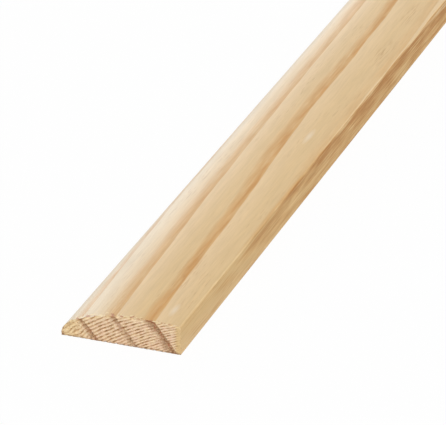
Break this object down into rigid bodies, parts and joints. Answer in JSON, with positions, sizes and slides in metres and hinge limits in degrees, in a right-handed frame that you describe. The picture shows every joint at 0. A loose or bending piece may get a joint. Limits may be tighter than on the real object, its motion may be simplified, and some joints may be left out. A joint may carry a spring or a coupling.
{
  "type": "door stop moulding",
  "caption": "Straight pine door stop moulding with a flat back, a square thick edge for the door to close on, and a face that sweeps down to a rounded thin edge.",
  "frame": {"origin": "middle of the flat back, half way along the length", "axes": "+Y along the length, +X across the width towards the thick edge, +Z out of the back towards the face"},
  "size_m": [0.0382, 2.1336, 0.0095],
  "materials": {
    "pine": "matte"
  },
  "bodies": {
    "root": {"door_stop_moulding": "pine"}
  },
  "joints": []
}
